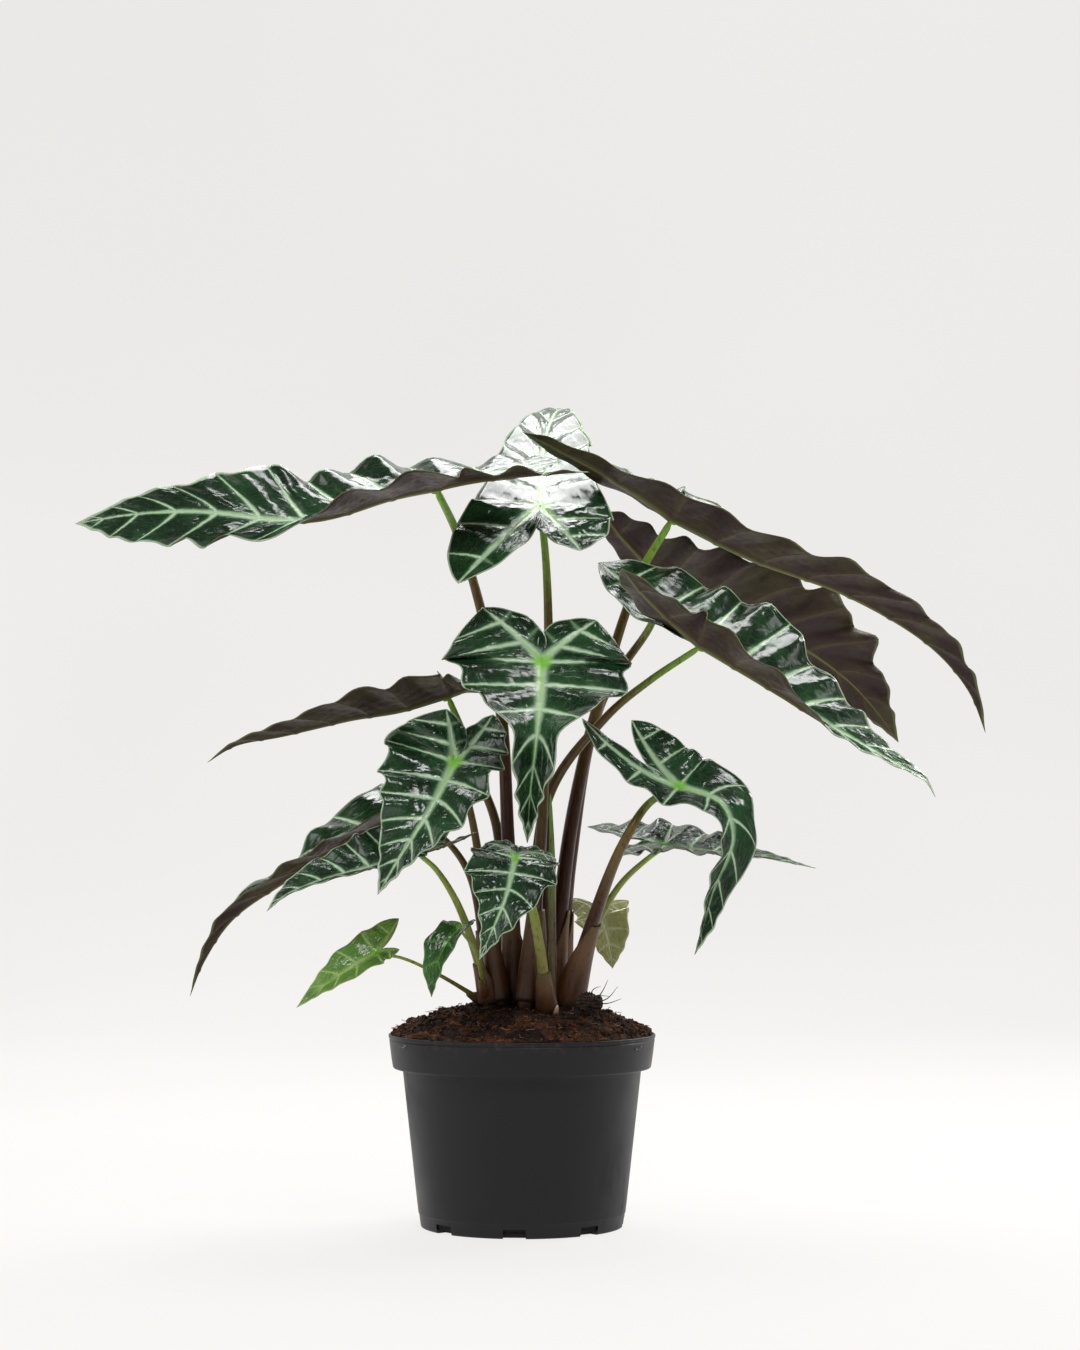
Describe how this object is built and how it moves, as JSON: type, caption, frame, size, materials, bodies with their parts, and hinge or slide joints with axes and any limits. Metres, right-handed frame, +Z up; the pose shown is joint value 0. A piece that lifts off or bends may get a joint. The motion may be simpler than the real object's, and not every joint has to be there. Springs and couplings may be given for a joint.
{
  "type": "potted alocasia",
  "caption": "Arrow-leaved alocasia houseplant with dark ruffled blades and pale veins, standing in a plain round plastic nursery pot of peat.",
  "frame": {"origin": "centre of the pot's base, on the surface it stands on", "axes": "+Z up along the pot's axis, -Y towards the viewer's side of the plant, +X to the viewer's right"},
  "size_m": [0.6557, 0.3257, 0.6106],
  "materials": {
    "pot_plastic": "satin",
    "peat": "matte",
    "roots": "matte",
    "corm_skin": "matte",
    "old_shoot_bark": "matte",
    "sheath_skin": "satin",
    "petiole_skin": "satin",
    "thin_petiole_skin": "satin",
    "blade_green": "gloss",
    "young_blade_green": "satin",
    "pale_blade_green": "satin"
  },
  "bodies": {
    "root": {"pot": "pot_plastic", "soil": "peat", "root_ball": "roots", "corm": "corm_skin", "old_shoot": "old_shoot_bark", "crown": "sheath_skin", "rolled_young_leaf": "young_blade_green", "blade_long_left": "blade_green", "petiole_long_left": "petiole_skin", "blade_long_right": "blade_green", "petiole_long_right": "petiole_skin", "blade_top": "blade_green", "petiole_top": "petiole_skin", "blade_back_right": "blade_green", "petiole_back_right": "petiole_skin", "blade_mid_right": "blade_green", "petiole_mid_right": "petiole_skin", "blade_heart": "blade_green", "petiole_heart": "petiole_skin", "blade_mid_left": "blade_green", "petiole_mid_left": "petiole_skin", "blade_front_left": "blade_green", "petiole_front_left": "petiole_skin", "blade_droop_left": "blade_green", "petiole_droop_left": "petiole_skin", "blade_low_left": "blade_green", "petiole_low_left": "thin_petiole_skin", "blade_low_front": "blade_green", "petiole_low_front": "thin_petiole_skin", "blade_small_left": "young_blade_green", "petiole_small_left": "thin_petiole_skin", "blade_small_front": "young_blade_green", "petiole_small_front": "thin_petiole_skin", "blade_twisted_right": "blade_green", "petiole_twisted_right": "petiole_skin", "blade_low_right": "blade_green", "petiole_low_right": "thin_petiole_skin", "blade_pale_back": "pale_blade_green", "petiole_pale_back": "thin_petiole_skin"}
  },
  "joints": []
}
